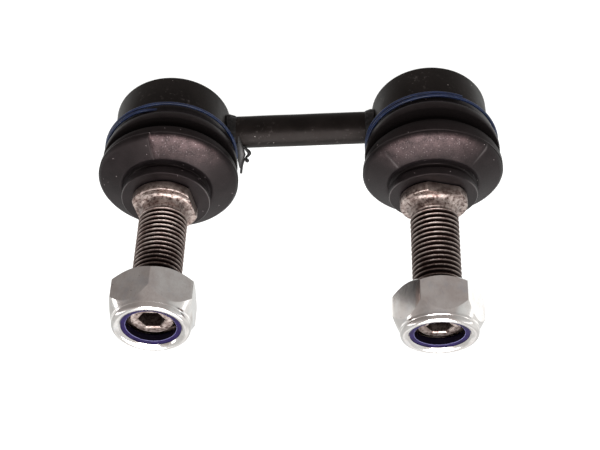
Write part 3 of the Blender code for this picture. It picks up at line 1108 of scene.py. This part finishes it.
def makeSocket(shape):
    # Closes the stud's end with a hexagon socket, ring by ring from the thread's last row
    s = stud
    half = s["socketFlats"] / 2
    floor = s["end"] - s["socketDepth"]

    def hexagonRadius(angle, flat):
        inSide = (angle % (math.pi / 3)) - math.pi / 6
        return flat / math.cos(inSide)

    rings = (
        (lambda angle: hexagonRadius(angle, half + s["socketBevel"]), s["end"]),
        (lambda angle: hexagonRadius(angle, half), s["end"] - s["socketBevel"]),
        (lambda angle: hexagonRadius(angle, half), floor),
        (lambda angle: half * 0.9, floor - 0.1),
        (lambda angle: 0.0, floor - 1.0),
    )
    loop = [e for e in shape.edges if e.is_boundary and e.verts[0].co.z > (s["end"] - 0.01) * mm]
    for radiusAt, height in rings:
        grown = bmesh.ops.extrude_edge_only(shape, edges=loop)["geom"]
        loop = [thing for thing in grown if isinstance(thing, bmesh.types.BMEdge) and thing.is_boundary]
        for vertex in {vertex for edge in loop for vertex in edge.verts}:
            angle = math.atan2(vertex.co.y, vertex.co.x)
            radius = radiusAt(angle) * mm
            vertex.co = (radius * math.cos(angle), radius * math.sin(angle), height * mm)
    bmesh.ops.remove_doubles(shape, verts=shape.verts, dist=mergeDistance)


def makeStud(side):
    s = stud
    shape = makeThread()
    ballTop = math.acos(s["neckRadius"] / s["ballRadius"])
    ballLow = math.asin(s["ballFlat"] / s["ballRadius"])
    corners = [(0, s["ballFlat"], 0)]
    for i in range(s["ballSteps"] + 1):
        angle = ballLow + (ballTop - ballLow) * i / s["ballSteps"]
        corners.append((s["ballRadius"] * math.cos(angle), s["ballRadius"] * math.sin(angle), 0))
    corners += [
        (s["neckRadius"], s["neckEnd"], 0),
        (s["seatRadius"] - 0.9, 11.0, 0.5),
        (s["seatRadius"], s["seatStart"], 0.3),
        (s["seatRadius"], s["flangeStart"], 0),
        (s["flangeRadius"], s["flangeStart"], s["flangeEdge"]),
        (s["flangeRadius"], s["flangeEnd"], s["flangeEdge"]),
        (s["plainRadius"], s["flangeEnd"], s["fillet"]),
        (s["plainRadius"], s["plainEnd"], 0),
    ]
    blank = turnedShape(corners, s["steps"], closed=False, segments=8)
    mesh = bpy.data.meshes.new("working")
    blank.to_mesh(mesh)
    blank.free()
    shape.from_mesh(mesh)
    bpy.data.meshes.remove(mesh)
    bmesh.ops.remove_doubles(shape, verts=shape.verts, dist=mergeDistance * 1.5)
    makeSocket(shape)
    bmesh.ops.recalc_face_normals(shape, faces=shape.faces)
    tools = bmesh.new()
    middle = (s["flangeStart"] + s["flangeEnd"]) / 2 * mm
    cutter = s["flatCutter"]
    for sign in (1, -1):
        made = bmesh.ops.create_cube(tools, size=1.0)["verts"]
        bmesh.ops.scale(tools, verts=made, vec=[size * mm for size in cutter])
        away = sign * (s["flats"] / 2 + cutter[0] / 2) * mm
        bmesh.ops.translate(tools, verts=made, vec=(away, 0, middle))
    tools.transform(Matrix.Rotation(math.radians(s["flatDegrees"][side]), 4, "Z"))
    shape = combine(shape, tools, "DIFFERENCE")
    groove = shape.verts.layers.float.new("groove")
    rough = shape.verts.layers.float.new("rough")
    for vertex in shape.verts:
        height = vertex.co.z / mm
        radius = math.hypot(vertex.co.x, vertex.co.y) / mm
        threaded = smoothStep(s["plainEnd"], s["threadFull"], height)
        threaded *= height < s["end"] - s["endChamfer"]
        vertex[groove] = threaded * smoothStep(0.0, s["darkDepth"], s["crestRadius"] - radius)
        bare = smoothStep(s["flangeStart"], s["flangeEnd"], height)
        vertex[rough] = bare * (1 - s["threadClean"] * threaded)
    addPiece(
        side + "BallStud", shape, studPlace(side), steel, side + "_stud_body",
        [side + "_ball_stud"],
    )


for side in sides:
    makeStud(side)
print("studs made")


# Lock nuts and their nylon inserts

nut = {
    "steps": 120,
    "seat": 43.9,
    "flats": 19.0,
    "height": 11.43,
    "faceRadius": 9.3,
    "cornerStart": 1.7,
    "cornerEnd": 6.2,
    "hexagonEnd": 8.85,
    "grooveHeight": 10.05,
    "grooveHalf": 0.15,
    "grooveDepth": 0.12,
    "crownRadius": 9.24,
    "crownTop": 9.14,
    "crownRound": 1.1,
    "mouth": 7.0,
    "mouthHeight": 10.72,
    "mouthLip": 0.25,
    "rollRadius": 7.7,
    "rollRound": 0.6,
    "bore": 6.15,
    "lead": 0.6,
    "pocket": 7.5,
    "pocketLow": 8.4,
    "pocketHigh": 10.65,
    "edgeBevel": 0.18,
    "cornerDegrees": {"left": -6.3, "right": 28.0},
}


def nutPlace(side):
    return studPlace(side) @ Matrix.Translation((0, 0, nut["seat"] * mm))


def makeNut(side):
    n = nut
    corner = n["flats"] / math.sqrt(3)
    beyond = corner + 0.3  # outside the hexagon that cuts the turned blank
    slope = (n["hexagonEnd"] - n["cornerEnd"]) / (corner - n["flats"] / 2)
    corners = [
        (n["mouth"], n["mouthHeight"], 0),
        (n["rollRadius"], n["height"], n["rollRound"]),
        (n["crownTop"], n["height"], n["crownRound"]),
        (n["crownRadius"], n["grooveHeight"] + n["grooveHalf"], 0),
        (n["crownRadius"] - n["grooveDepth"], n["grooveHeight"], 0),
        (n["crownRadius"], n["grooveHeight"] - n["grooveHalf"], 0),
        (n["crownRadius"], n["hexagonEnd"] + slope * (n["flats"] / 2 - n["crownRadius"]), 0.05),
        (beyond, n["hexagonEnd"] - slope * (beyond - n["flats"] / 2), 0),
        (beyond, n["cornerStart"], 0),
        (n["faceRadius"], 0, 0.1),
        (n["bore"] + n["lead"], 0, 0),
        (n["bore"], n["lead"], 0),
        (n["bore"], n["pocketLow"], 0),
        (n["pocket"], n["pocketLow"], 0),
        (n["pocket"], n["pocketHigh"], 0),
        (n["mouth"] + n["mouthLip"], n["pocketHigh"], 0),
    ]
    shape = turnedShape(corners, n["steps"])
    hexagon = bmesh.new()
    bmesh.ops.create_cone(
        hexagon, cap_ends=True, segments=6, radius1=corner * mm, radius2=corner * mm, depth=0.06
    )
    upright = [e for e in hexagon.edges if abs(e.verts[0].co.z - e.verts[1].co.z) > mm]
    bmesh.ops.bevel(
        hexagon, geom=upright, offset=n["edgeBevel"] * mm, offset_type="OFFSET", affect="EDGES",
        segments=2, profile=0.5, material=-1,
    )
    turn = math.radians(n["cornerDegrees"][side]) - math.pi / 2
    hexagon.transform(Matrix.Rotation(turn, 4, "Z"))
    shape = combine(shape, hexagon, "INTERSECT")
    addPiece(
        side + "LockNut", shape, nutPlace(side), zinc, side + "_nut_body", [side + "_lock_nut"],
        sharp=25,
    )


insert = {
    "steps": 96,
    "inner": 5.9,
    "outer": 7.15,
    "low": 8.7,
    "high": 10.6,
    "funnel": 0.15,
    "innerEdge": 0.12,
    "edge": 0.1,
    "edgeHighlight": 0.6,
    "margin": 0.02,
}


def makeInsert(side):
    i = insert
    corners = [
        (i["inner"], i["high"] - i["funnel"], i["innerEdge"]),
        (i["outer"], i["high"], i["edge"]),
        (i["outer"], i["low"], 0),
        (i["inner"], i["low"], i["edge"]),
    ]
    shape = turnedShape(corners, i["steps"])
    # Painted shade on the bore's wall, and a painted highlight on the rounding of its inner top edge
    inside = shape.verts.layers.float.new("inside")
    edge = shape.verts.layers.float.new("edge")
    for vertex in shape.verts:
        radius = math.hypot(vertex.co.x, vertex.co.y) / mm
        vertex[inside] = radius < i["inner"] + i["margin"] / 2
        onEdge = i["inner"] + i["margin"] < radius < i["inner"] + i["innerEdge"] - i["margin"]
        high = vertex.co.z > (i["high"] - i["funnel"] - 2 * i["edge"]) * mm
        vertex[edge] = i["edgeHighlight"] * (onEdge and high)
    addPiece(
        side + "NutInsert", shape, nutPlace(side), nylon, side + "_insert_body",
        [side + "_nut_insert"],
    )


for side in sides:
    makeNut(side)
    makeInsert(side)
print("nuts made")


# CAD nodes that stay as they are, inside the joints

hiddenFinishes = {"ball_seat": plastic, "collar_ring": steel}
for side in sides:
    for node, finish in hiddenFinishes.items():
        mesh = frame["nodes"][side + "_" + node].data
        mesh.materials.clear()
        mesh.materials.append(finish)
print("inner pieces finished")


# Camera, floor and light, with places in millimetres

camera = {
    "place": (19.62, -261.38, 308.24),
    "target": (33.88, 28.92, 10.0),
    "rollDegrees": 179.95,
    "lens": 95.54,
    "sensor": 36.0,
}


def makeCamera():
    c = camera
    data = bpy.data.cameras.new("photoCamera")
    data.lens = c["lens"]
    data.sensor_width = c["sensor"]
    data.clip_start = 0.01
    data.clip_end = 20
    thing = newThing("photoCamera", data)
    place = Vector(c["place"]) * mm
    look = (Vector(c["target"]) * mm - place).to_track_quat("-Z", "Y").to_matrix().to_4x4()
    roll = Matrix.Rotation(math.radians(c["rollDegrees"]), 4, "Z")
    thing.matrix_world = Matrix.Translation(place) @ look @ roll
    bpy.context.scene.camera = thing


studio = {
    "floorSize": 6.0,
    "floorGlow": 1.0,
    "floorTone": (0.12, 0.14),
    "floorPatch": 400.0,
    "floorRoughness": 0.9,
    "skyWay": (0.9, 0.3),  # shares of Y and Z in the sky's main direction
    # Along a direction: where a change starts and ends, and the value before and after it
    "sky": (-0.5, 0.5, 0.44, 0.88),
    "rightSky": (-0.86, -0.64, 0.20, 0.0),
    "leftSky": (0.2, 0.7, 0.0, -0.14),
    "besides": (0.35, 0.7, 0.0, 0.9),
    "below": (-0.65, -0.35, 1.0, 0.0),
    "behind": (-0.1, 0.2, 0.0, 1.0),
    "front": (-0.2, 0.3, 1.0, 0.0),
    "notRight": (-0.8, -0.55, 0.0, 1.0),
    "cool": (0.985, 1.0, 0.985),
    "warm": (1.0, 0.93, 0.895),
    "aim": (32, 0, 20),
    "boxes": (
        # name, place, size across and along in millimetres, radiance
        ("overheadBox", (32, 120, 600), (480, 760), 6.2),
        ("shoulderStrip", (32, -190, 590), (480, 60), 8.0),
        ("backBox", (32, 600, 260), (700, 220), 0.35),
        ("rightStrip", (-420, 60, 170), (60, 420), 1.3),
        ("leftStrip", (480, 60, 170), (60, 420), 3.5),
    ),
}


def makeFloor():
    shape = bmesh.new()
    bmesh.ops.create_grid(shape, x_segments=1, y_segments=1, size=studio["floorSize"] / 2)
    mesh = bpy.data.meshes.new("floor")
    shape.to_mesh(mesh)
    shape.free()
    material, tree, shader, where = startFinish("paleFloor")
    shade = noiseOf(tree, where, studio["floorPatch"], 1.0)
    dark, light = studio["floorTone"]
    tree.links.new(rampOf(tree, shade, (0.0, dark), (1.0, light)), shader.inputs["Base Color"])
    shader.inputs["Roughness"].default_value = studio["floorRoughness"]
    shader.inputs["Emission Color"].default_value = (1, 1, 0.99, 1)
    shader.inputs["Emission Strength"].default_value = studio["floorGlow"]
    mesh.materials.append(material)
    floor = newThing("floor", mesh)
    floor.visible_glossy = False


def makeLights():
    for name, place, size, radiance in studio["boxes"]:
        across, along = (side * mm for side in size)
        data = bpy.data.lights.new(name, "AREA")
        data.shape = "RECTANGLE"
        data.size = across
        data.size_y = along
        data.energy = radiance * math.pi * across * along
        lamp = newThing(name, data)
        lamp.location = Vector(place) * mm
        lamp.visible_camera = False
        aim = Vector(studio["aim"]) * mm - lamp.location
        if name != "overheadBox":  # which hangs level
            lamp.rotation_euler = aim.to_track_quat("-Z", "Y").to_euler()
    world = bpy.data.worlds.new("studio")
    bpy.context.scene.world = world
    world.use_nodes = True
    tree = world.node_tree
    background = tree.nodes["Background"]
    parts = tree.nodes.new("ShaderNodeSeparateXYZ")
    tree.links.new(tree.nodes.new("ShaderNodeTexCoord").outputs["Generated"], parts.inputs[0])
    x, y, z = parts.outputs
    alongY, alongZ = studio["skyWay"]
    towards = mathOf(tree, "MULTIPLY_ADD", z, alongZ, mathOf(tree, "MULTIPLY", y, alongY))
    right = rangeOf(tree, x, *studio["rightSky"])
    left = rangeOf(tree, x, *studio["leftSky"])
    glow = rangeOf(tree, towards, *studio["sky"])
    glow = mathOf(tree, "ADD", glow, mathOf(tree, "ADD", right, left))
    # The floor's own light comes back from both sides, low down and behind
    low = mathOf(tree, "MULTIPLY", rangeOf(tree, z, *studio["below"]), rangeOf(tree, y, *studio["behind"]))
    beside = rangeOf(tree, mathOf(tree, "ABSOLUTE", x), *studio["besides"])
    glow = mathOf(tree, "ADD", glow, mathOf(tree, "MULTIPLY", beside, low))
    tree.links.new(glow, background.inputs["Strength"])
    front = rangeOf(tree, y, *studio["front"])
    warmth = mathOf(tree, "MULTIPLY", front, rangeOf(tree, x, *studio["notRight"]))
    tree.links.new(blendOf(tree, warmth, studio["cool"], studio["warm"]), background.inputs["Color"])


makeCamera()
makeFloor()
makeLights()
bpy.context.scene.view_settings.view_transform = "Standard"
print("studio made")
